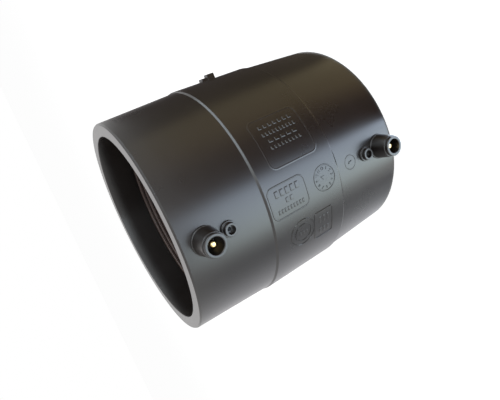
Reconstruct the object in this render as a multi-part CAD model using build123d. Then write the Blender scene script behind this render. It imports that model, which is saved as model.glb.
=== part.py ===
"""Electrofusion pipe coupler for 125 mm polyethylene pipe.

One moulded body holds a heating wire, two terminal pins and two fusion indicators.
Frame: the origin is on the bore axis at mid length, where the two pipe ends meet.
+Z runs up the bore, and the terminals stand out along -Y. The functions count
heights from the lower mouth face, and save() brings each piece to the origin.
All sizes are in millimetres.
"""

import os
from math import atan2, degrees, pi

from build123d import *

# ---- Body -------------------------------------------------------------------
PIPE_RADIUS = 62.5
SOCKET_CLEARANCE = 0.6        # between the pipe and the bore, before they are welded
LENGTH = 161.0
SLEEVE_LENGTH = 52.5
MOUTH_WALL = 8.9
SLEEVE_TAPER = 2.1            # growth of a sleeve's radius from its mouth to the band
BAND_STEP = 0.8               # band above the root of a sleeve
BAND_SHOULDER = 1.2           # slope from sleeve to band, along the bore
LEAD_IN_FLARE = 0.7
LEAD_IN_DEPTH = 5.0
MOUTH_BEVEL_WIDTH = 2.6        # outer edge of each mouth, across the end face
MOUTH_BEVEL_DEPTH = 1.2        # outer edge of each mouth, along the sleeve

# ---- Heating wire -----------------------------------------------------------
WINDING_TURNS = 8
WINDING_START = 20.5          # mouth face to the near end of the winding
TURN_GAP = 0.3                # between the backs of neighbouring turns
COAT_WIDTH = 2.7              # coated wire, across its back
COAT_HEIGHT = 1.4             # coated wire, from its back to its crown
LEAD_WIDTH = 1.4              # bare lead, along the wall
LEAD_HEIGHT = 0.9             # bare lead, through the wall
CROWN_DEPTH = 0.1             # crown of the coat below the bore wall

# ---- Terminals --------------------------------------------------------------
TERMINAL_FROM_MOUTH = 13.9
SHROUD_HEIGHT = 13.0          # rim above the sleeve
SHROUD_BASE_RADIUS = 8.2
SHROUD_BASE_HEIGHT = 0.8      # above the sleeve
SHROUD_LOWER_RADIUS = 7.8
SHROUD_UPPER_RADIUS = 6.9
SHROUD_COLLAR_RADIUS = 6.4
SHROUD_COLLAR_HEIGHT = 2.1
SHROUD_CAVITY_RADIUS = 4.55
SHROUD_CAVITY_DEPTH = 12.4
SHROUD_RIM_EDGE = 0.4

PIN_RADIUS = 2.0
PIN_BELOW_RIM = 3.2
PIN_END_EDGE = 0.7
PIN_COLLAR_RADIUS = 2.9
PIN_COLLAR_HEIGHT = 1.0
PIN_SHANK_RADIUS = 1.6
PIN_ANCHOR_RADIUS = 2.6
PIN_ANCHOR_HEIGHT = 1.4

# ---- Fusion indicators ------------------------------------------------------
INDICATOR_FROM_TERMINAL = 13.9
CUP_HEIGHT = 3.8              # rim above the sleeve
CUP_BASE_RADIUS = 4.7
CUP_BASE_HEIGHT = 1.2         # above the sleeve
CUP_RADIUS = 3.8
CUP_CAVITY_RADIUS = 2.4
CUP_CAVITY_DEPTH = 3.0
CUP_RIM_EDGE = 0.3
INDICATOR_RADIUS = 1.3
INDICATOR_RISE = 0.4          # tip above the floor of the cup
INDICATOR_TIP_EDGE = 0.3
INDICATOR_WIRE_GAP = 0.3      # foot above the back of the winding

# ---- Injection gate stub ----------------------------------------------------
GATE_WIDTH = 6.0
GATE_LOW_LENGTH = 4.7
GATE_TALL_LENGTH = 5.6
GATE_LOW_HEIGHT = 1.9
GATE_TALL_HEIGHT = 3.7
GATE_EDGE_RADIUS = 0.6

# ---- Centre stops -----------------------------------------------------------
STOP_COUNT = 4
STOP_HEIGHT = 1.6
STOP_WIDTH = 9.0
STOP_LENGTH = 3.0

# ---- Clearance of the plastic around what is moulded into it ----------------
MOULDED_GAP = 0.02

# ---- Sizes that follow ------------------------------------------------------
MID_HEIGHT = LENGTH / 2
BORE_RADIUS = PIPE_RADIUS + SOCKET_CLEARANCE
LEAD_IN_RADIUS = BORE_RADIUS + LEAD_IN_FLARE
MOUTH_OUTER_RADIUS = BORE_RADIUS + MOUTH_WALL
SLEEVE_ROOT_RADIUS = MOUTH_OUTER_RADIUS + SLEEVE_TAPER
BAND_RADIUS = SLEEVE_ROOT_RADIUS + BAND_STEP
SLEEVE_SLOPE = SLEEVE_TAPER / SLEEVE_LENGTH
WALL_ROOT = BORE_RADIUS + MOUTH_WALL / 2             # where added features start
RECESS_RADIUS = BORE_RADIUS + CROWN_DEPTH + COAT_HEIGHT + MOULDED_GAP
WIRE_BACK_RADIUS = RECESS_RADIUS - MOULDED_GAP
WINDING_PITCH = COAT_WIDTH + TURN_GAP
WINDING_RISE = WINDING_TURNS * WINDING_PITCH
RECESS_LENGTH = WINDING_RISE + COAT_WIDTH + 2 * MOULDED_GAP
COIL_START = WINDING_START + MOULDED_GAP + COAT_WIDTH / 2
COIL_END = COIL_START + WINDING_RISE
TERMINAL_SURFACE = MOUTH_OUTER_RADIUS + SLEEVE_SLOPE * TERMINAL_FROM_MOUTH
TERMINAL_TOP = TERMINAL_SURFACE + SHROUD_HEIGHT
SHROUD_FLOOR = TERMINAL_TOP - SHROUD_CAVITY_DEPTH
INDICATOR_FROM_MOUTH = TERMINAL_FROM_MOUTH + INDICATOR_FROM_TERMINAL
INDICATOR_SURFACE = MOUTH_OUTER_RADIUS + SLEEVE_SLOPE * INDICATOR_FROM_MOUTH
INDICATOR_TOP = INDICATOR_SURFACE + CUP_HEIGHT
CUP_FLOOR = INDICATOR_TOP - CUP_CAVITY_DEPTH


def turned(points):
    """Solid of revolution about Z from (radius, height) points."""
    outline = [(radius, 0, height) for radius, height in points]
    face = make_face(Polyline(*outline, close=True))
    return revolve(face, Axis.Z)


def eased_top(solid, edge):
    """Take the sharp corner off the topmost round edge of a turned solid."""
    rim = solid.edges().filter_by(GeomType.CIRCLE).group_by(Axis.Z)[-1]
    return chamfer(rim, edge)


def stood_out(solid, height):
    """Turn a solid built up Z so that it stands out along -Y at a height."""
    return Pos(0, 0, height) * Rot(90, 0, 0) * solid


def at_both_ends(make, from_mouth):
    """The same feature at the same distance from the lower and the upper mouth."""
    return [make(from_mouth), make(LENGTH - from_mouth)]


def shell():
    """Sleeves and band as one turned piece, with its bore, lead-ins and recesses."""
    face_radius = MOUTH_OUTER_RADIUS - MOUTH_BEVEL_WIDTH
    bevel_radius = MOUTH_OUTER_RADIUS + SLEEVE_SLOPE * MOUTH_BEVEL_DEPTH
    band_foot = SLEEVE_LENGTH + BAND_SHOULDER
    outside = turned([
        (0, 0), (face_radius, 0), (bevel_radius, MOUTH_BEVEL_DEPTH),
        (SLEEVE_ROOT_RADIUS, SLEEVE_LENGTH), (BAND_RADIUS, band_foot),
        (BAND_RADIUS, LENGTH - band_foot), (SLEEVE_ROOT_RADIUS, LENGTH - SLEEVE_LENGTH),
        (bevel_radius, LENGTH - MOUTH_BEVEL_DEPTH), (face_radius, LENGTH), (0, LENGTH),
    ])
    bore = turned([
        (0, 0), (LEAD_IN_RADIUS, 0), (BORE_RADIUS, LEAD_IN_DEPTH),
        (BORE_RADIUS, LENGTH - LEAD_IN_DEPTH), (LEAD_IN_RADIUS, LENGTH), (0, LENGTH),
    ])
    recess = Cylinder(RECESS_RADIUS, RECESS_LENGTH, align=(Align.CENTER, Align.CENTER, Align.MIN))
    lower = Pos(0, 0, WINDING_START) * recess
    upper = Pos(0, 0, LENGTH - WINDING_START - RECESS_LENGTH) * recess
    return outside - bore - lower - upper


def shroud(height):
    """Terminal shroud: a thin base, a drafted tower and a collar at its rim."""
    base_top = TERMINAL_SURFACE + SHROUD_BASE_HEIGHT
    collar_foot = TERMINAL_TOP - SHROUD_COLLAR_HEIGHT
    tower = turned([
        (0, WALL_ROOT), (SHROUD_BASE_RADIUS, WALL_ROOT), (SHROUD_BASE_RADIUS, base_top),
        (SHROUD_LOWER_RADIUS, base_top), (SHROUD_UPPER_RADIUS, collar_foot),
        (SHROUD_COLLAR_RADIUS, collar_foot), (SHROUD_COLLAR_RADIUS, TERMINAL_TOP),
        (0, TERMINAL_TOP),
    ])
    return stood_out(eased_top(tower, SHROUD_RIM_EDGE), height)


def shroud_cavity(height):
    """Open space round a terminal pin, for the welding lead's plug."""
    cavity = turned([
        (0, SHROUD_FLOOR), (SHROUD_CAVITY_RADIUS, SHROUD_FLOOR),
        (SHROUD_CAVITY_RADIUS, TERMINAL_TOP), (0, TERMINAL_TOP),
    ])
    return stood_out(cavity, height)


def pin_points(gap):
    """Half outline of a terminal pin, grown by a gap where plastic holds it."""
    shank = PIN_SHANK_RADIUS + gap
    anchor = PIN_ANCHOR_RADIUS + gap
    anchor_foot = (WIRE_BACK_RADIUS + SHROUD_FLOOR - PIN_ANCHOR_HEIGHT) / 2
    anchor_top = anchor_foot + PIN_ANCHOR_HEIGHT
    collar_top = SHROUD_FLOOR + PIN_COLLAR_HEIGHT
    tip = TERMINAL_TOP - PIN_BELOW_RIM
    return [
        (0, WIRE_BACK_RADIUS), (shank, WIRE_BACK_RADIUS), (shank, anchor_foot - gap),
        (anchor, anchor_foot - gap), (anchor, anchor_top + gap), (shank, anchor_top + gap),
        (shank, SHROUD_FLOOR), (PIN_COLLAR_RADIUS, SHROUD_FLOOR),
        (PIN_COLLAR_RADIUS, collar_top), (PIN_RADIUS, collar_top), (PIN_RADIUS, tip), (0, tip),
    ]


def terminal_pin(height):
    """Turned pin: anchor flange in the wall, collar on the shroud floor, eased end."""
    pin = turned(pin_points(0))
    return stood_out(eased_top(pin, PIN_END_EDGE), height)


def pin_seat(height):
    """Space that a terminal pin's shank and anchor fill in the body."""
    return stood_out(turned(pin_points(MOULDED_GAP)), height)


def indicator_cup(height):
    """Small cup that stands over a fusion indicator."""
    base_top = INDICATOR_SURFACE + CUP_BASE_HEIGHT
    cup = turned([
        (0, WALL_ROOT), (CUP_BASE_RADIUS, WALL_ROOT), (CUP_BASE_RADIUS, base_top),
        (CUP_RADIUS, base_top), (CUP_RADIUS, INDICATOR_TOP), (0, INDICATOR_TOP),
    ])
    return stood_out(eased_top(cup, CUP_RIM_EDGE), height)


def indicator_bore(height):
    """Stepped hole from the rim of the cup down to the heating wire."""
    seat = INDICATOR_RADIUS + MOULDED_GAP
    hole = turned([
        (0, BORE_RADIUS), (seat, BORE_RADIUS), (seat, CUP_FLOOR),
        (CUP_CAVITY_RADIUS, CUP_FLOOR), (CUP_CAVITY_RADIUS, INDICATOR_TOP), (0, INDICATOR_TOP),
    ])
    return stood_out(hole, height)


def fusion_indicator(height):
    """Plug with an eased tip, which melt pushes up out of its cup."""
    foot = WIRE_BACK_RADIUS + INDICATOR_WIRE_GAP
    tip = CUP_FLOOR + INDICATOR_RISE
    plug = turned([(0, foot), (INDICATOR_RADIUS, foot), (INDICATOR_RADIUS, tip), (0, tip)])
    return stood_out(eased_top(plug, INDICATOR_TIP_EDGE), height)


def gate_stub():
    """Stepped stub of the injection gate, on the band at mid height along +X."""
    root = BAND_RADIUS - GATE_TALL_HEIGHT
    corner = (Align.MIN, Align.CENTER, Align.MIN)
    tall = Box(BAND_RADIUS + GATE_TALL_HEIGHT - root, GATE_WIDTH, GATE_TALL_LENGTH, align=corner)
    low = Box(BAND_RADIUS + GATE_LOW_HEIGHT - root, GATE_WIDTH, GATE_LOW_LENGTH, align=corner)
    foot = MID_HEIGHT - (GATE_TALL_LENGTH + GATE_LOW_LENGTH) / 2
    stub = Pos(root, 0, foot) * tall + Pos(root, 0, foot + GATE_TALL_LENGTH) * low
    corners = stub.edges().filter_by(Axis.X)
    return fillet(corners.group_by(Axis.Z)[0] + corners.group_by(Axis.Z)[-1], GATE_EDGE_RADIUS)


def centre_stops():
    """Nibs at mid height that stop each pipe end."""
    depth = STOP_HEIGHT + (BAND_RADIUS - BORE_RADIUS) / 2
    nib = Pos(BORE_RADIUS - STOP_HEIGHT, 0, MID_HEIGHT) * Box(
        depth, STOP_WIDTH, STOP_LENGTH, align=(Align.MIN, Align.CENTER, Align.CENTER))
    step = 360 / STOP_COUNT
    return [Rot(0, 0, step * (number + 0.5)) * nib for number in range(STOP_COUNT)]


def flat_lead(from_height, to_height, gap):
    """Straight run of bare wire up the wall, buried behind the bore along -Y."""
    width = LEAD_WIDTH + 2 * gap
    height = to_height - from_height + 2 * gap
    lead = Box(width, LEAD_HEIGHT + gap, height, align=(Align.CENTER, Align.MIN, Align.MIN))
    return Pos(0, -WIRE_BACK_RADIUS, from_height - gap) * lead


def leads(gap):
    """Both tails to the pins and the bridge between the two windings."""
    reach = TERMINAL_FROM_MOUTH - PIN_SHANK_RADIUS
    return [
        flat_lead(reach, COIL_START, gap),
        flat_lead(COIL_END, LENGTH - COIL_END, gap),
        flat_lead(LENGTH - COIL_START, LENGTH - reach, gap),
    ]


def winding(start_height):
    """One helical winding of coated wire that starts and ends over the leads."""
    path = Rot(0, 0, -90) * Helix(WINDING_PITCH, WINDING_RISE, WIRE_BACK_RADIUS)
    slope = degrees(atan2(WINDING_PITCH, 2 * pi * WIRE_BACK_RADIUS))
    half_back = COAT_WIDTH / 2
    ridge = Polyline(
        (WIRE_BACK_RADIUS, 0, -half_back), (WIRE_BACK_RADIUS, 0, half_back),
        (WIRE_BACK_RADIUS - COAT_HEIGHT, 0, 0), close=True)
    section = Rot(0, 0, -90) * Rot(slope, 0, 0) * make_face(ridge)
    return Pos(0, 0, start_height) * sweep(section, path=path, is_frenet=True)


def heating_wire():
    """One wire from pin to pin: tail, winding, bridge, winding, tail."""
    wire = winding(COIL_START) + winding(LENGTH - COIL_END)
    for lead in leads(0):
        wire += lead
    return wire


def body():
    """The moulded body, with the spaces of all that is moulded into it."""
    solid = shell() + gate_stub()
    for nib in centre_stops():
        solid += nib
    added = at_both_ends(shroud, TERMINAL_FROM_MOUTH) + at_both_ends(indicator_cup, INDICATOR_FROM_MOUTH)
    for feature in added:
        solid += feature
    removed = at_both_ends(shroud_cavity, TERMINAL_FROM_MOUTH)
    removed += at_both_ends(pin_seat, TERMINAL_FROM_MOUTH)
    removed += at_both_ends(indicator_bore, INDICATOR_FROM_MOUTH)
    removed += leads(MOULDED_GAP)
    for space in removed:
        solid -= space
    return solid


def save(name, shape):
    """Write one piece as parts/NAME.step, with the origin at mid length."""
    piece = Pos(0, 0, -MID_HEIGHT) * shape
    piece.label = name
    export_step(piece, os.path.join("parts", name + ".step"))


def main():
    os.makedirs("parts", exist_ok=True)
    save("body", body())
    save("heating_wire", heating_wire())
    lower_pin, upper_pin = at_both_ends(terminal_pin, TERMINAL_FROM_MOUTH)
    save("lower_terminal_pin", lower_pin)
    save("upper_terminal_pin", upper_pin)
    lower_plug, upper_plug = at_both_ends(fusion_indicator, INDICATOR_FROM_MOUTH)
    save("lower_fusion_indicator", lower_plug)
    save("upper_fusion_indicator", upper_plug)


main()
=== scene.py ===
"""Electrofusion pipe coupler in black polyethylene, standing on its lower mouth."""

import math

import bmesh
import bpy
from mathutils import Matrix, Vector


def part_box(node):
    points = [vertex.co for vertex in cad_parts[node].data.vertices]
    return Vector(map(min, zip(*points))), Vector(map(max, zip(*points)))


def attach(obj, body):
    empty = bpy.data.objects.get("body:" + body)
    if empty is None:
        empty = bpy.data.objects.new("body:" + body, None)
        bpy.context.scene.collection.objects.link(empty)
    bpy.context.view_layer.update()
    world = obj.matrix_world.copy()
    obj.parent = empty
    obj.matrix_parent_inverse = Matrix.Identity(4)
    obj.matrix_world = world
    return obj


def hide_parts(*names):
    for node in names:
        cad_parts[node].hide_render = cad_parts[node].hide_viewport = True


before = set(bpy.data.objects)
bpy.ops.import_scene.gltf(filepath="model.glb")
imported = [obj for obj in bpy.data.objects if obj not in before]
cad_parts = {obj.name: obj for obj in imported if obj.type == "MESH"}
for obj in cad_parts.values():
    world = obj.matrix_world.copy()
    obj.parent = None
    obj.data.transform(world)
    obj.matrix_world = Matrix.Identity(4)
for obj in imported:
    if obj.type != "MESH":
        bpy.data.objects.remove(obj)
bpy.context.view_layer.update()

MM = 0.001

# ---- Places that follow from the frame --------------------------------------
BODY_LOW, BODY_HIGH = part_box("body")
HALF_LENGTH = BODY_HIGH[2]
FLOOR_HEIGHT = BODY_LOW[2]
SHROUD_RIM = -BODY_LOW[1]
GATE_TIP = BODY_HIGH[0]


def middle(node, axis):
    """Middle of a CAD node's box along one axis."""
    low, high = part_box(node)
    return (low[axis] + high[axis]) / 2


TERMINAL_HEIGHT = middle("upper_terminal_pin", 2)
INDICATOR_HEIGHT = middle("upper_fusion_indicator", 2)
PIN_TIP = -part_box("upper_terminal_pin")[0][1]
PLUG_TIP = -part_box("upper_fusion_indicator")[0][1]
WIRE_BACK_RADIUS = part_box("heating_wire")[1][0]

# ---- Sizes of the real piece, in metres --------------------------------------
SLEEVE_LENGTH = 52.5 * MM
MOUTH_OUTER_RADIUS = 72.0 * MM
SLEEVE_ROOT_RADIUS = 74.1 * MM
BAND_RADIUS = 74.87 * MM
BAND_SHOULDER = 1.2 * MM
BORE_RADIUS = 63.1 * MM
LEAD_IN_RADIUS = 63.8 * MM
LEAD_IN_DEPTH = 5.0 * MM
WINDING_START = 20.5 * MM
WINDING_LENGTH = 26.74 * MM
WINDING_TURNS = 8
WINDING_PITCH = 3.0 * MM
COAT_WIDTH = 2.7 * MM
COAT_HEIGHT = 1.35 * MM
RECESS_GAP = 0.02 * MM          # between the winding's back and its recess

ROOT_DEPTH = 3 * MM             # how far a shroud or cup runs into the wall
SHROUD_BASE_RADIUS = 8.2 * MM
SHROUD_BASE_HEIGHT = 0.8 * MM
SHROUD_LOWER_RADIUS = 7.8 * MM
SHROUD_UPPER_RADIUS = 6.9 * MM
COLLAR_RADIUS = 6.4 * MM
COLLAR_HEIGHT = 2.1 * MM
CAVITY_RADIUS = 4.55 * MM
CAVITY_DEPTH = 12.4 * MM

CUP_BASE_RADIUS = 4.7 * MM
CUP_BASE_HEIGHT = 1.2 * MM
CUP_RADIUS = 3.8 * MM
CUP_HEIGHT = 3.8 * MM
CUP_HOLE_RADIUS = 2.4 * MM
CUP_HOLE_DEPTH = 3.0 * MM

PIN_RADIUS = 2.0 * MM
PIN_COLLAR_RADIUS = 2.9 * MM
PIN_COLLAR_HEIGHT = 1.0 * MM
PIN_SINK = 0.5 * MM             # how far the collar runs below the cavity floor
PLUG_RADIUS = 1.3 * MM
PLUG_LENGTH = 2.5 * MM

GATE_WIDTH = 6 * MM
GATE_STEP_RISE = 1.9 * MM
GATE_SINK = 1.5 * MM
GATE_BEVEL = 0.3 * MM
GATE_DRAFT = 0.2                # share of the width lost over GATE_DRAFT_HEIGHT
GATE_DRAFT_HEIGHT = 3 * MM

STOP_COUNT = 4
STOP_SIZE = (3.2 * MM, 9 * MM, 3 * MM)
STOP_BEVEL = 0.4 * MM

MARK_SINK = 0.3 * MM            # how far the raised marks run into the body
AROUND = 288                    # steps round the body


# ---- Mesh helpers -----------------------------------------------------------
def rounded(points, steps=6):
    """Outline of (radius, height, edge radius) corners with each edge radius as an arc."""
    outline = []
    count = len(points)
    for index, (radius, height, ease) in enumerate(points):
        corner = Vector((radius, height))
        if ease == 0:
            outline.append(corner)
            continue
        before = (Vector(points[index - 1][:2]) - corner).normalized()
        after = (Vector(points[(index + 1) % count][:2]) - corner).normalized()
        half = before.angle(after) / 2
        reach = ease / math.tan(half)
        centre = corner + (before + after).normalized() * ease / math.sin(half)
        first = corner + before * reach - centre
        last = corner + after * reach - centre
        sweep = first.angle_signed(last)
        for step in range(steps + 1):
            turn = Matrix.Rotation(-sweep * step / steps, 2)
            outline.append(centre + turn @ first)
    return outline


def mesh_object(name, mesh, material, node):
    """Link a mesh as a piece that stands for part of a CAD node."""
    piece = bpy.data.objects.new(name, mesh)
    bpy.context.scene.collection.objects.link(piece)
    mesh.materials.append(material)
    for polygon in mesh.polygons:
        polygon.use_smooth = True
    normals = piece.modifiers.new("even_normals", "WEIGHTED_NORMAL")
    normals.keep_sharp = True
    normals.weight = 100
    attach(piece, "root")
    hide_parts(node)
    return piece


def finished(shape, name, sharp_degrees=50):
    """Turn a bmesh into a mesh with outward faces and sharp edges kept sharp."""
    bmesh.ops.remove_doubles(shape, verts=shape.verts, dist=1e-7)
    bmesh.ops.recalc_face_normals(shape, faces=shape.faces)
    for edge in shape.edges:
        if edge.is_manifold and edge.calc_face_angle() > math.radians(sharp_degrees):
            edge.smooth = False
    mesh = bpy.data.meshes.new(name)
    shape.to_mesh(mesh)
    shape.free()
    return mesh


def turned(name, outline, steps=AROUND, closed=True):
    """Mesh of an outline turned about Z. An open outline starts and ends on the axis."""
    shape = bmesh.new()
    rings = []
    for step in range(steps):
        angle = 2 * math.pi * step / steps
        rings.append([
            shape.verts.new((point[0] * math.cos(angle), point[0] * math.sin(angle), point[1]))
            for point in outline
        ])
    last = len(outline) if closed else len(outline) - 1
    for step in range(steps):
        here = rings[step]
        there = rings[(step + 1) % steps]
        for index in range(last):
            following = (index + 1) % len(outline)
            shape.faces.new((here[index], there[index], there[following], here[following]))
    bmesh.ops.remove_doubles(shape, verts=shape.verts, dist=1e-7)
    bmesh.ops.dissolve_degenerate(shape, dist=1e-8, edges=shape.edges)
    return finished(shape, name)


def stand_out(mesh, height):
    """Turn a mesh built up Z so that it stands out along -Y at a height."""
    mesh.transform(Matrix.Translation((0, 0, height)) @ Matrix.Rotation(math.pi / 2, 4, "X"))


def surface_radius(height):
    """Outer radius of the body at a height."""
    from_mouth = HALF_LENGTH - abs(height)
    if from_mouth > SLEEVE_LENGTH:
        return BAND_RADIUS
    slope = (SLEEVE_ROOT_RADIUS - MOUTH_OUTER_RADIUS) / SLEEVE_LENGTH
    return MOUTH_OUTER_RADIUS + slope * from_mouth


# ---- Materials --------------------------------------------------------------
def node_material(name):
    """A new material, its node tree and its shader."""
    material = bpy.data.materials.new(name)
    material.use_nodes = True
    tree = material.node_tree
    return material, tree, tree.nodes["Principled BSDF"]


def noise(tree, scale, detail=4.0, roughness=0.6):
    """Noise texture in object coordinates."""
    place = tree.nodes.new("ShaderNodeTexCoord")
    texture = tree.nodes.new("ShaderNodeTexNoise")
    texture.inputs["Scale"].default_value = scale
    texture.inputs["Detail"].default_value = detail
    texture.inputs["Roughness"].default_value = roughness
    tree.links.new(place.outputs["Object"], texture.inputs["Vector"])
    return texture.outputs["Fac"]


def ramp(tree, source, low, high, start=0.35, end=0.65):
    """Blend from one colour to another over a band of a value."""
    blend = tree.nodes.new("ShaderNodeValToRGB")
    blend.color_ramp.elements[0].position = start
    blend.color_ramp.elements[0].color = (*low, 1)
    blend.color_ramp.elements[1].position = end
    blend.color_ramp.elements[1].color = (*high, 1)
    tree.links.new(source, blend.inputs["Fac"])
    return blend.outputs["Color"]


def spread(tree, source, low, high):
    """Map a value from 0..1 to a range."""
    scale = tree.nodes.new("ShaderNodeMapRange")
    scale.inputs["To Min"].default_value = low
    scale.inputs["To Max"].default_value = high
    tree.links.new(source, scale.inputs["Value"])
    return scale.outputs["Result"]


def bump(tree, source, strength, distance, under=None):
    """Bump from a height value, over another bump if one is given."""
    node = tree.nodes.new("ShaderNodeBump")
    node.inputs["Strength"].default_value = strength
    node.inputs["Distance"].default_value = distance
    tree.links.new(source, node.inputs["Height"])
    if under is not None:
        tree.links.new(under, node.inputs["Normal"])
    return node.outputs["Normal"]


def black_polyethylene():
    """Moulded black polyethylene: satin skin with slight flow waves and a fine grain."""
    material, tree, shader = node_material("black_polyethylene")
    cloud = noise(tree, 22.0)
    fine = noise(tree, 900.0, 2.0)
    wave = noise(tree, 45.0, 2.0, 0.4)
    paint = ramp(tree, cloud, (0.010, 0.0072, 0.006), (0.014, 0.0105, 0.009))
    tree.links.new(paint, shader.inputs["Base Color"])
    tree.links.new(spread(tree, cloud, 0.24, 0.33), shader.inputs["Roughness"])
    skin = bump(tree, wave, 0.07, 0.0012)
    tree.links.new(bump(tree, fine, 0.03, 0.0001, skin), shader.inputs["Normal"])
    # Glossier than real polyethylene (0.5), so that the sheen shows at a plain light level.
    shader.inputs["Specular IOR Level"].default_value = 0.8
    return material


def coated_wire():
    """Thin plastic coat over resistance wire, a little browner than the body."""
    material, tree, shader = node_material("coated_wire")
    cloud = noise(tree, 60.0)
    paint = ramp(tree, cloud, (0.085, 0.05, 0.04), (0.12, 0.075, 0.06))
    tree.links.new(paint, shader.inputs["Base Color"])
    tree.links.new(spread(tree, cloud, 0.28, 0.42), shader.inputs["Roughness"])
    tree.links.new(bump(tree, noise(tree, 500.0), 0.1, 0.0001), shader.inputs["Normal"])
    return material


def terminal_brass():
    """Turned brass with slight tarnish."""
    material, tree, shader = node_material("terminal_brass")
    cloud = noise(tree, 700.0)
    paint = ramp(tree, cloud, (0.72, 0.50, 0.22), (0.85, 0.66, 0.36))
    tree.links.new(paint, shader.inputs["Base Color"])
    tree.links.new(spread(tree, cloud, 0.16, 0.32), shader.inputs["Roughness"])
    shader.inputs["Metallic"].default_value = 1.0
    return material


def indicator_plastic():
    """Dark plastic of the indicator plugs, duller than the body."""
    material, tree, shader = node_material("indicator_plastic")
    cloud = noise(tree, 600.0)
    paint = ramp(tree, cloud, (0.010, 0.010, 0.011), (0.018, 0.018, 0.02))
    tree.links.new(paint, shader.inputs["Base Color"])
    tree.links.new(spread(tree, cloud, 0.35, 0.5), shader.inputs["Roughness"])
    shader.inputs["Specular IOR Level"].default_value = 0.15
    return material


POLYETHYLENE = black_polyethylene()
COAT = coated_wire()
BRASS = terminal_brass()
PLUG_PLASTIC = indicator_plastic()


def body_piece(name, mesh):
    """A piece of the one black moulding."""
    return mesh_object(name, mesh, POLYETHYLENE, "body")


# ---- Body -------------------------------------------------------------------
def shell():
    """Sleeves, band and bore as one turned skin with eased edges."""
    top = HALF_LENGTH
    step = top - SLEEVE_LENGTH
    recess_top = top - WINDING_START
    recess_foot = recess_top - WINDING_LENGTH
    recess = WIRE_BACK_RADIUS + RECESS_GAP
    upper = [
        (BAND_RADIUS, step - BAND_SHOULDER, 0.9 * MM),
        (SLEEVE_ROOT_RADIUS, step, 0.6 * MM),
        (MOUTH_OUTER_RADIUS, top - 1.0 * MM, 0.35 * MM),
        (MOUTH_OUTER_RADIUS - 0.65 * MM, top, 0.35 * MM),
        (LEAD_IN_RADIUS, top, 0.5 * MM),
        (BORE_RADIUS, top - LEAD_IN_DEPTH, 55 * MM),
        (BORE_RADIUS, recess_top, 0.25 * MM),
        (recess, recess_top, 0),
        (recess, recess_foot, 0),
        (BORE_RADIUS, recess_foot, 0.25 * MM),
    ]
    lower = [(radius, -height, ease) for radius, height, ease in reversed(upper)]
    body_piece("body_shell", turned("body_shell", rounded(upper + lower)))


def shroud(name, height, side):
    """Terminal shroud: thin base, drafted tower and collar round a deep cavity."""
    surface = surface_radius(height)
    root = surface - ROOT_DEPTH
    base_top = surface + SHROUD_BASE_HEIGHT
    collar_foot = SHROUD_RIM - COLLAR_HEIGHT
    floor = SHROUD_RIM - CAVITY_DEPTH
    outline = rounded([
        (0, root, 0),
        (SHROUD_BASE_RADIUS, root, 0),
        (SHROUD_BASE_RADIUS, base_top, 0.3 * MM),
        (SHROUD_LOWER_RADIUS, base_top, 0.15 * MM),
        (SHROUD_UPPER_RADIUS, collar_foot, 0.3 * MM),
        (COLLAR_RADIUS, collar_foot, 0.1 * MM),
        (COLLAR_RADIUS, SHROUD_RIM, 0.5 * MM),
        (CAVITY_RADIUS, SHROUD_RIM, 0.55 * MM),
        (CAVITY_RADIUS, floor, 0.3 * MM),
        (0, floor, 0),
    ])
    mesh = turned(name, outline, steps=96, closed=False)
    stand_out(mesh, side * height)
    body_piece(name, mesh)


def cup(name, height, side):
    """Indicator cup: low base and a short tube."""
    surface = surface_radius(height)
    root = surface - ROOT_DEPTH
    base_top = surface + CUP_BASE_HEIGHT
    rim = surface + CUP_HEIGHT
    floor = rim - CUP_HOLE_DEPTH
    outline = rounded([
        (0, root, 0),
        (CUP_BASE_RADIUS, root, 0),
        (CUP_BASE_RADIUS, base_top, 0.4 * MM),
        (CUP_RADIUS, base_top, 0.3 * MM),
        (CUP_RADIUS, rim, 0.35 * MM),
        (CUP_HOLE_RADIUS, rim, 0.25 * MM),
        (CUP_HOLE_RADIUS, floor, 0.2 * MM),
        (0, floor, 0),
    ])
    mesh = turned(name, outline, steps=72, closed=False)
    stand_out(mesh, side * height)
    body_piece(name, mesh)


def terminal_pin(name, side):
    """Brass pin with a rounded end and a small collar on the cavity floor."""
    floor = SHROUD_RIM - CAVITY_DEPTH
    foot = floor - PIN_SINK
    collar_top = floor + PIN_COLLAR_HEIGHT
    outline = rounded([
        (0, foot, 0),
        (PIN_COLLAR_RADIUS, foot, 0),
        (PIN_COLLAR_RADIUS, collar_top, 0.2 * MM),
        (PIN_RADIUS, collar_top, 0.15 * MM),
        (PIN_RADIUS, PIN_TIP, 1.2 * MM),
        (0, PIN_TIP, 0),
    ])
    mesh = turned(name, outline, steps=64, closed=False)
    stand_out(mesh, side * TERMINAL_HEIGHT)
    mesh_object(name, mesh, BRASS, name)


def indicator(name, side):
    """Indicator plug with a domed tip."""
    foot = PLUG_TIP - PLUG_LENGTH
    outline = rounded([
        (0, foot, 0),
        (PLUG_RADIUS, foot, 0),
        (PLUG_RADIUS, PLUG_TIP, 0.9 * MM),
        (0, PLUG_TIP, 0),
    ])
    mesh = turned(name, outline, steps=48, closed=False)
    stand_out(mesh, side * INDICATOR_HEIGHT)
    mesh_object(name, mesh, PLUG_PLASTIC, name)


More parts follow.
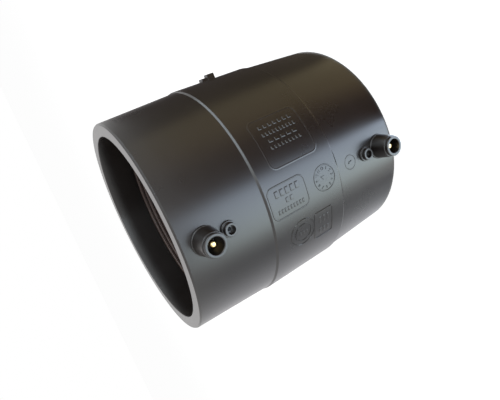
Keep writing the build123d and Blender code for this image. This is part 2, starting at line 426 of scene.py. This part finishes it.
def winding(name, start):
    """One helical winding with a rounded coat."""
    shape = bmesh.new()
    section = [(WIRE_BACK_RADIUS, -COAT_WIDTH / 2), (WIRE_BACK_RADIUS, COAT_WIDTH / 2)]
    arc_steps = 8
    for step in range(1, arc_steps):
        angle = math.pi * step / arc_steps
        section.append((
            WIRE_BACK_RADIUS - COAT_HEIGHT * math.sin(angle),
            COAT_WIDTH / 2 * math.cos(angle),
        ))
    steps = 144
    rings = []
    for step in range(WINDING_TURNS * steps + 1):
        angle = 2 * math.pi * step / steps - math.pi / 2
        height = start + WINDING_PITCH * step / steps
        rings.append([
            shape.verts.new((radius * math.cos(angle), radius * math.sin(angle), height + rise))
            for radius, rise in section
        ])
    for here, there in zip(rings, rings[1:]):
        for index in range(len(section)):
            following = (index + 1) % len(section)
            shape.faces.new((here[index], here[following], there[following], there[index]))
    shape.faces.new(rings[0])
    shape.faces.new(reversed(rings[-1]))
    mesh_object(name, finished(shape, name), COAT, "heating_wire")


def ease_edges(shape, width):
    """Round every edge of a shape a little."""
    bmesh.ops.bevel(
        shape, geom=shape.edges, offset=width, segments=3, profile=0.5, affect="EDGES")


def gate_stub():
    """Stepped stub that the injection gate leaves at mid height."""
    root = BAND_RADIUS - GATE_SINK
    blocks = (                  # name, lower and upper end in millimetres, and tip radius
        ("gate_stub", -5.15, 0.45, GATE_TIP),
        ("gate_step", 0.3, 5.15, BAND_RADIUS + GATE_STEP_RISE),
    )
    for name, low, high, tip in blocks:
        shape = bmesh.new()
        bmesh.ops.create_cube(shape, size=1)
        size = (tip - root, GATE_WIDTH, (high - low) * MM)
        bmesh.ops.scale(shape, vec=size, verts=shape.verts)
        centre = ((tip + root) / 2, 0, (high + low) / 2 * MM)
        bmesh.ops.translate(shape, vec=centre, verts=shape.verts)
        for vert in shape.verts:
            if vert.co.x > BAND_RADIUS:
                rise = vert.co.x - BAND_RADIUS
                vert.co.y *= 1 - GATE_DRAFT * rise / GATE_DRAFT_HEIGHT
        ease_edges(shape, GATE_BEVEL)
        body_piece(name, finished(shape, name))


def centre_stops():
    """Four nibs in the bore at mid height."""
    for number in range(STOP_COUNT):
        shape = bmesh.new()
        bmesh.ops.create_cube(shape, size=1)
        bmesh.ops.scale(shape, vec=STOP_SIZE, verts=shape.verts)
        bmesh.ops.translate(shape, vec=(BORE_RADIUS, 0, 0), verts=shape.verts)
        ease_edges(shape, STOP_BEVEL)
        turn = Matrix.Rotation(math.radians(90 * number + 45), 3, "Z")
        bmesh.ops.rotate(shape, matrix=turn, verts=shape.verts)
        name = "centre_stop_%d" % (number + 1)
        body_piece(name, finished(shape, name))


# ---- Raised marks -----------------------------------------------------------
def wrap(shape, azimuth, height):
    """Lay a flat mesh on the body: x runs down the body, y round it and z outward."""
    for vert in shape.verts:
        along, around, out = vert.co
        level = height - along
        radius = surface_radius(level)
        angle = math.radians(azimuth) + around / radius
        vert.co = ((radius + out) * math.cos(angle), (radius + out) * math.sin(angle), level)


def rounded_box(width, depth, ease, steps=8):
    """Corner points of a flat box with round corners, about its middle."""
    points = []
    for quarter, (x_side, y_side) in enumerate(((1, 1), (-1, 1), (-1, -1), (1, -1))):
        for step in range(steps + 1):
            angle = math.pi / 2 * (quarter + step / steps)
            points.append((
                x_side * (width / 2 - ease) + ease * math.cos(angle),
                y_side * (depth / 2 - ease) + ease * math.sin(angle),
            ))
    return points


def ridge(shape, outline, width, rise, fade=0.0):
    """Closed raised line with sloping sides; a fade lets the outer side run out gently."""
    foot = width / 2 + fade
    section = ((foot, -MARK_SINK), (foot, 0), (width / 4, rise), (-width / 4, rise),
               (-width / 2, 0), (-width / 2, -MARK_SINK))
    count = len(outline)
    rings = []
    for index in range(count):
        before = Vector(outline[index - 1])
        after = Vector(outline[(index + 1) % count])
        along = (after - before).normalized()
        side = Vector((along.y, -along.x))
        here = Vector(outline[index])
        rings.append([shape.verts.new((*(here + side * away), out)) for away, out in section])
    for index in range(count):
        one = rings[index]
        two = rings[(index + 1) % count]
        for corner in range(len(section)):
            following = (corner + 1) % len(section)
            shape.faces.new((one[corner], one[following], two[following], two[corner]))


def circle(radius, steps=48):
    """Points round a circle."""
    angles = [2 * math.pi * step / steps for step in range(steps)]
    return [(radius * math.cos(angle), radius * math.sin(angle)) for angle in angles]


def block(shape, x, y, width, depth, rise):
    """Small raised bar with sloping sides, its middle at x, y."""
    slope = min(rise, width / 3, depth / 3)
    levels = ((0, -MARK_SINK), (0, 0), (slope, rise))
    rings = []
    for inset, out in levels:
        half_width = width / 2 - inset
        half_depth = depth / 2 - inset
        corners = ((1, 1), (-1, 1), (-1, -1), (1, -1))
        rings.append([
            shape.verts.new((x + a * half_width, y + b * half_depth, out)) for a, b in corners
        ])
    for low, high in zip(rings, rings[1:]):
        for corner in range(4):
            following = (corner + 1) % 4
            shape.faces.new((low[corner], low[following], high[following], high[corner]))
    shape.faces.new(rings[-1])
    shape.faces.new(reversed(rings[0]))


def rows_of_blocks(shape, rows, rise):
    """Rows of plain bars: each row is (y, bar depth, bar widths, gap), about x = 0."""
    for y, depth, widths, gap in rows:
        total = sum(widths) + gap * (len(widths) - 1)
        x = -total / 2
        for width in widths:
            block(shape, x + width / 2, y, width, depth, rise)
            x += width + gap


def mark(name, shape, azimuth, height):
    """Wrap a flat mark round the body and add it as part of the moulding."""
    bmesh.ops.subdivide_edges(
        shape, edges=[edge for edge in shape.edges if edge.calc_length() > 2.5 * MM], cuts=3)
    wrap(shape, azimuth, height)
    body_piece(name, finished(shape, name))


def big_panel():
    """Panel outline with rows of plain bars in its upper half."""
    shape = bmesh.new()
    ridge(shape, rounded_box(34 * MM, 31 * MM, 4 * MM), 0.9 * MM, 0.15 * MM, fade=0.3 * MM)
    rows = (
        (10.0 * MM, 2.4 * MM, [2.2 * MM] * 7, 1.4 * MM),
        (5.2 * MM, 2.4 * MM, [1.6 * MM] * 10, 0.9 * MM),
        (0.6 * MM, 2.2 * MM, [3.0 * MM] * 5, 1.4 * MM),
        (-3.6 * MM, 2.2 * MM, [1.5 * MM] * 9, 1.1 * MM),
    )
    rows_of_blocks(shape, rows, 0.4 * MM)
    mark("panel", shape, -64.8, -1 * MM)


def small_label():
    """Outlined label with three rows of plain bars."""
    shape = bmesh.new()
    ridge(shape, rounded_box(26.5 * MM, 19.5 * MM, 4 * MM), 0.9 * MM, 0.22 * MM)
    rows = (
        (5.0 * MM, 4.2 * MM, [2.6 * MM] * 5, 1.1 * MM),
        (-0.4 * MM, 3.0 * MM, [2.2 * MM] * 2, 1.0 * MM),
        (-5.6 * MM, 2.6 * MM, [1.4 * MM] * 9, 0.8 * MM),
    )
    rows_of_blocks(shape, rows, 0.3 * MM)
    mark("label", shape, -90.4, 12.2 * MM)


def digits(name, text, radius, size, azimuth, height):
    """Plain numbers round a dial."""
    count = len(text)
    for index, label in enumerate(text):
        curve = bpy.data.curves.new("digit", "FONT")
        curve.body = label
        curve.size = size
        curve.align_x = "CENTER"
        curve.align_y = "CENTER"
        curve.extrude = 0.15 * MM
        holder = bpy.data.objects.new("digit", curve)
        shape = bmesh.new()
        shape.from_mesh(holder.to_mesh())
        angle = math.pi / 2 - 2 * math.pi * (index + 1) / count
        place = Matrix.Translation((radius * math.cos(angle), radius * math.sin(angle), 0.1 * MM))
        turn = Matrix.Rotation(angle - math.pi / 2, 4, "Z")
        bmesh.ops.transform(shape, matrix=place @ turn, verts=shape.verts)
        bpy.data.objects.remove(holder)
        wrap(shape, azimuth, height)
        body_piece("%s_%d" % (name, index + 1), finished(shape, name))


def arrow(shape, length, width, angle, rise):
    """Raised arrow through the middle of a dial."""
    half = width / 2
    outline = [
        (-length / 2, half), (length * 0.1, half), (length * 0.1, width * 1.3), (length / 2, 0),
        (length * 0.1, -width * 1.3), (length * 0.1, -half), (-length / 2, -half),
    ]
    turn = Matrix.Rotation(angle, 2)
    points = [turn @ Vector(point) for point in outline]
    low = [shape.verts.new((*point, -MARK_SINK)) for point in points]
    high = [shape.verts.new((*point, rise)) for point in points]
    for index in range(len(points)):
        following = (index + 1) % len(points)
        shape.faces.new((low[index], low[following], high[following], high[index]))
    shape.faces.new(high)
    shape.faces.new(reversed(low))


def date_dials():
    """A clock dial with numbers and an arrow on the band, and a small one on the sleeve."""
    shape = bmesh.new()
    azimuth = -90.2
    height = -15.7 * MM
    numbers = [str(number) for number in range(1, 13)]
    ridge(shape, circle(8.0 * MM), 0.9 * MM, 0.3 * MM)
    arrow(shape, 6.4 * MM, 1.0 * MM, math.radians(150), 0.35 * MM)
    mark("dial", shape, azimuth, height)
    digits("dial_digit", numbers, 5.8 * MM, 2.6 * MM, azimuth, height)
    shape = bmesh.new()
    ridge(shape, circle(4.5 * MM), 0.7 * MM, 0.16 * MM)
    arrow(shape, 3.4 * MM, 0.9 * MM, math.radians(200), 0.35 * MM)
    mark("small_dial", shape, -90.0, -38.9 * MM)


def blank_badges():
    """A round and a square outline, both bare but for plain inner lines."""
    shape = bmesh.new()
    ridge(shape, circle(9.2 * MM), 0.9 * MM, 0.35 * MM)
    ridge(shape, circle(6.0 * MM), 0.6 * MM, 0.3 * MM)
    rows_of_blocks(shape, ((0, 2.6 * MM, [1.6 * MM] * 3, 0.9 * MM),), 0.3 * MM)
    mark("round_badge", shape, -110.7, 7.1 * MM)
    shape = bmesh.new()
    ridge(shape, rounded_box(14.5 * MM, 20 * MM, 1.5 * MM), 0.9 * MM, 0.35 * MM)
    rows_of_blocks(shape, ((4.0 * MM, 5 * MM, [1.6 * MM] * 3, 1.6 * MM),
                           (-4.5 * MM, 4 * MM, [1.6 * MM] * 3, 1.6 * MM)), 0.3 * MM)
    mark("square_badge", shape, -112.3, -9.6 * MM)


# ---- Setting ----------------------------------------------------------------
CAMERA_PLACE = (75.5 * MM, -263.4 * MM, 127.9 * MM)
CAMERA_HEADING = 106.66         # degrees from +X
CAMERA_PITCH = -25.94
CAMERA_ROLL = 116.59            # turn of the image's up from the upright
CAMERA_LENS = 29.52
CAMERA_SHIFT = -0.0395

FLOOR_REACH = 6.0
FLOOR_COLOUR = 0.8
FLOOR_GLOW = 0.86               # added for the rays that see the white background
WORLD_LIGHT = 0.15              # what the world gives the object
WORLD_SEEN = 1.0                # what camera, glossy and transmission rays see

GLOW_RADII = (73 * MM, 900 * MM)
GLOW_MIDDLE = (11 * MM, -45 * MM, 0)
GLOW_STRENGTH = 5.0             # no less than the brightest channel of the stops
# Azimuth, and radiance in red, green and blue, set so that the body reflects zones
# like those of the photograph. With the panels, a colour renders at 0.56 to 1.58 times as
# it is written, and at about 1.0 on average.
GLOW_STOPS = (
    (-180, (1.07, 1.09, 1.15)),
    (-165, (0.71, 0.74, 0.78)),
    (-150, (0.57, 0.59, 0.63)),
    (-138, (1.40, 1.47, 1.47)),
    (-126, (3.28, 3.80, 3.84)),
    (-106, (3.48, 4.08, 4.60)),
    (-86, (3.07, 3.59, 4.37)),
    (-78, (0.45, 0.45, 0.52)),
    (-68, (0.18, 0.12, 0.10)),
    (-48, (0.21, 0.15, 0.12)),
    (-34, (0.42, 0.31, 0.20)),
    (-20, (0.63, 0.49, 0.29)),
    (6, (0.62, 0.52, 0.32)),
    (15, (0.17, 0.14, 0.10)),
    (60, (0.07, 0.06, 0.06)),
    (85, (0.55, 0.53, 0.53)),
    (110, (1.22, 1.19, 1.19)),
    (180, (1.07, 1.09, 1.15)),
)


def add_camera():
    """Camera held on its side, a little above the upper mouth."""
    camera = bpy.data.cameras.new("camera")
    camera.lens = CAMERA_LENS
    camera.sensor_width = 36
    camera.shift_y = CAMERA_SHIFT
    camera.clip_start = 0.01
    holder = bpy.data.objects.new("camera", camera)
    heading = Matrix.Rotation(math.radians(CAMERA_HEADING - 90), 4, "Z")
    pitch = Matrix.Rotation(math.radians(90 + CAMERA_PITCH), 4, "X")
    roll = Matrix.Rotation(math.radians(-CAMERA_ROLL), 4, "Z")
    holder.matrix_world = Matrix.Translation(CAMERA_PLACE) @ heading @ pitch @ roll
    bpy.context.scene.collection.objects.link(holder)
    bpy.context.scene.camera = holder


def panel_light(name, place, target, width, depth, radiance, colour):
    """Soft panel light of a given radiance, aimed at a point and hidden from the camera."""
    lamp = bpy.data.lights.new(name, "AREA")
    lamp.shape = "RECTANGLE"
    lamp.size = width
    lamp.size_y = depth
    lamp.energy = radiance * math.pi * width * depth
    lamp.color = colour
    holder = bpy.data.objects.new(name, lamp)
    aim = Vector(target) - Vector(place)
    holder.rotation_euler = aim.to_track_quat("-Z", "Y").to_euler()
    holder.location = place
    holder.visible_camera = False
    bpy.context.scene.collection.objects.link(holder)


def polar(azimuth, distance, height):
    """Point at an azimuth, a distance from the axis and a height."""
    angle = math.radians(azimuth)
    return (distance * math.cos(angle), distance * math.sin(angle), height)


def glow_material():
    """Light that changes with the azimuth round the card's middle, on its upper side only."""
    material, tree, shader = node_material("glow_card")
    tree.nodes.remove(shader)
    place = tree.nodes.new("ShaderNodeTexCoord")
    turn = tree.nodes.new("ShaderNodeTexGradient")
    turn.gradient_type = "RADIAL"
    tree.links.new(place.outputs["Object"], turn.inputs["Vector"])
    blend = tree.nodes.new("ShaderNodeValToRGB")
    stops = blend.color_ramp.elements
    while len(stops) < len(GLOW_STOPS):
        stops.new(0.5)
    for stop, (azimuth, colour) in zip(stops, GLOW_STOPS):
        stop.position = azimuth / 360 + 0.5
        stop.color = (*[share / GLOW_STRENGTH for share in colour], 1)
    tree.links.new(turn.outputs["Fac"], blend.inputs["Fac"])
    glow = tree.nodes.new("ShaderNodeEmission")
    glow.inputs["Strength"].default_value = GLOW_STRENGTH
    tree.links.new(blend.outputs["Color"], glow.inputs["Color"])
    side = tree.nodes.new("ShaderNodeNewGeometry")
    clear = tree.nodes.new("ShaderNodeBsdfTransparent")
    both = tree.nodes.new("ShaderNodeMixShader")
    tree.links.new(side.outputs["Backfacing"], both.inputs[0])
    tree.links.new(glow.outputs["Emission"], both.inputs[1])
    tree.links.new(clear.outputs["BSDF"], both.inputs[2])
    tree.links.new(both.outputs["Shader"], tree.nodes["Material Output"].inputs["Surface"])
    return material


def add_glow_card():
    """Ring of soft light lying on the floor round the body, unseen by the camera."""
    shape = bmesh.new()
    steps = 96
    rings = []
    for radius in GLOW_RADII:
        ring = []
        for step in range(steps):
            place = Vector(polar(360 * step / steps, radius, 0)) - Vector(GLOW_MIDDLE)
            ring.append(shape.verts.new(place))
        rings.append(ring)
    for step in range(steps):
        following = (step + 1) % steps
        near, far = rings
        shape.faces.new((near[step], far[step], far[following], near[following]))
    mesh = bpy.data.meshes.new("glow_card")
    shape.to_mesh(mesh)
    shape.free()
    mesh.materials.append(glow_material())
    card = bpy.data.objects.new("glow_card", mesh)
    card.location = (GLOW_MIDDLE[0], GLOW_MIDDLE[1], FLOOR_HEIGHT + 0.5 * MM)
    card.visible_camera = False
    card.visible_shadow = False
    bpy.context.scene.collection.objects.link(card)


def add_lights():
    """The glow card, a cool light for the raised edges, a soft back light and a top light."""
    add_glow_card()
    panel_light(
        "edge", polar(-37, 0.45, 0.27), target=(0, 0, 0),
        width=1.6, depth=0.10, radiance=4.5, colour=(0.8, 0.92, 1.0))
    panel_light(
        "back", polar(122, 0.6, 0.42), target=(0, 0, HALF_LENGTH),
        width=1.0, depth=0.35, radiance=0.5, colour=(1.0, 0.94, 0.95))
    panel_light(
        "top", polar(143, 0.5, 0.75), target=(0, 0, 0),
        width=0.5, depth=0.5, radiance=1.8, colour=(1.0, 0.95, 0.93))


def background_rays(tree):
    """1 for camera, glossy and transmission rays, which all see the white background."""
    path = tree.nodes.new("ShaderNodeLightPath")
    seen = path.outputs["Is Camera Ray"]
    for kind in ("Is Glossy Ray", "Is Transmission Ray"):
        either = tree.nodes.new("ShaderNodeMath")
        either.operation = "MAXIMUM"
        tree.links.new(seen, either.inputs[0])
        tree.links.new(path.outputs[kind], either.inputs[1])
        seen = either.outputs["Value"]
    return seen


def add_floor():
    """Plain pale floor, seen nearly white, which keeps the shadow."""
    material, tree, shader = node_material("floor")
    shader.inputs["Base Color"].default_value = (FLOOR_COLOUR, FLOOR_COLOUR, FLOOR_COLOUR, 1)
    shader.inputs["Roughness"].default_value = 0.9
    shader.inputs["Specular IOR Level"].default_value = 0.0
    shader.inputs["Emission Color"].default_value = (1, 1, 1, 1)
    glow = tree.nodes.new("ShaderNodeMath")
    glow.operation = "MULTIPLY"
    glow.inputs[1].default_value = FLOOR_GLOW
    tree.links.new(background_rays(tree), glow.inputs[0])
    tree.links.new(glow.outputs["Value"], shader.inputs["Emission Strength"])
    mesh = bpy.data.meshes.new("floor")
    reach = FLOOR_REACH
    corners = [(-reach, -reach, 0), (reach, -reach, 0), (reach, reach, 0), (-reach, reach, 0)]
    mesh.from_pydata(corners, [], [(0, 1, 2, 3)])
    mesh.materials.append(material)
    floor = bpy.data.objects.new("floor", mesh)
    floor.location.z = FLOOR_HEIGHT
    bpy.context.scene.collection.objects.link(floor)


def set_world():
    """Grey surroundings that the camera and reflections see as white."""
    world = bpy.data.worlds.new("world")
    bpy.context.scene.world = world
    world.use_nodes = True
    tree = world.node_tree
    background = tree.nodes["Background"]
    strength = tree.nodes.new("ShaderNodeMapRange")
    strength.inputs["To Min"].default_value = WORLD_LIGHT
    strength.inputs["To Max"].default_value = WORLD_SEEN
    tree.links.new(background_rays(tree), strength.inputs["Value"])
    tree.links.new(strength.outputs["Result"], background.inputs["Strength"])
    background.inputs["Color"].default_value = (1, 1, 1, 1)


def build():
    """Every piece, then the camera, the lights and the background."""
    shell()
    for prefix, side in (("upper", 1), ("lower", -1)):
        shroud(prefix + "_shroud", TERMINAL_HEIGHT, side)
        cup(prefix + "_indicator_cup", INDICATOR_HEIGHT, side)
        terminal_pin(prefix + "_terminal_pin", side)
        indicator(prefix + "_fusion_indicator", side)
    recess_foot = HALF_LENGTH - WINDING_START - WINDING_LENGTH
    near_start = recess_foot + RECESS_GAP + COAT_WIDTH / 2
    winding("upper_winding", near_start)
    winding("lower_winding", -near_start - WINDING_TURNS * WINDING_PITCH)
    gate_stub()
    centre_stops()
    big_panel()
    small_label()
    date_dials()
    blank_badges()
    add_camera()
    add_lights()
    add_floor()
    set_world()
    bpy.context.scene.view_settings.view_transform = "Standard"


build()
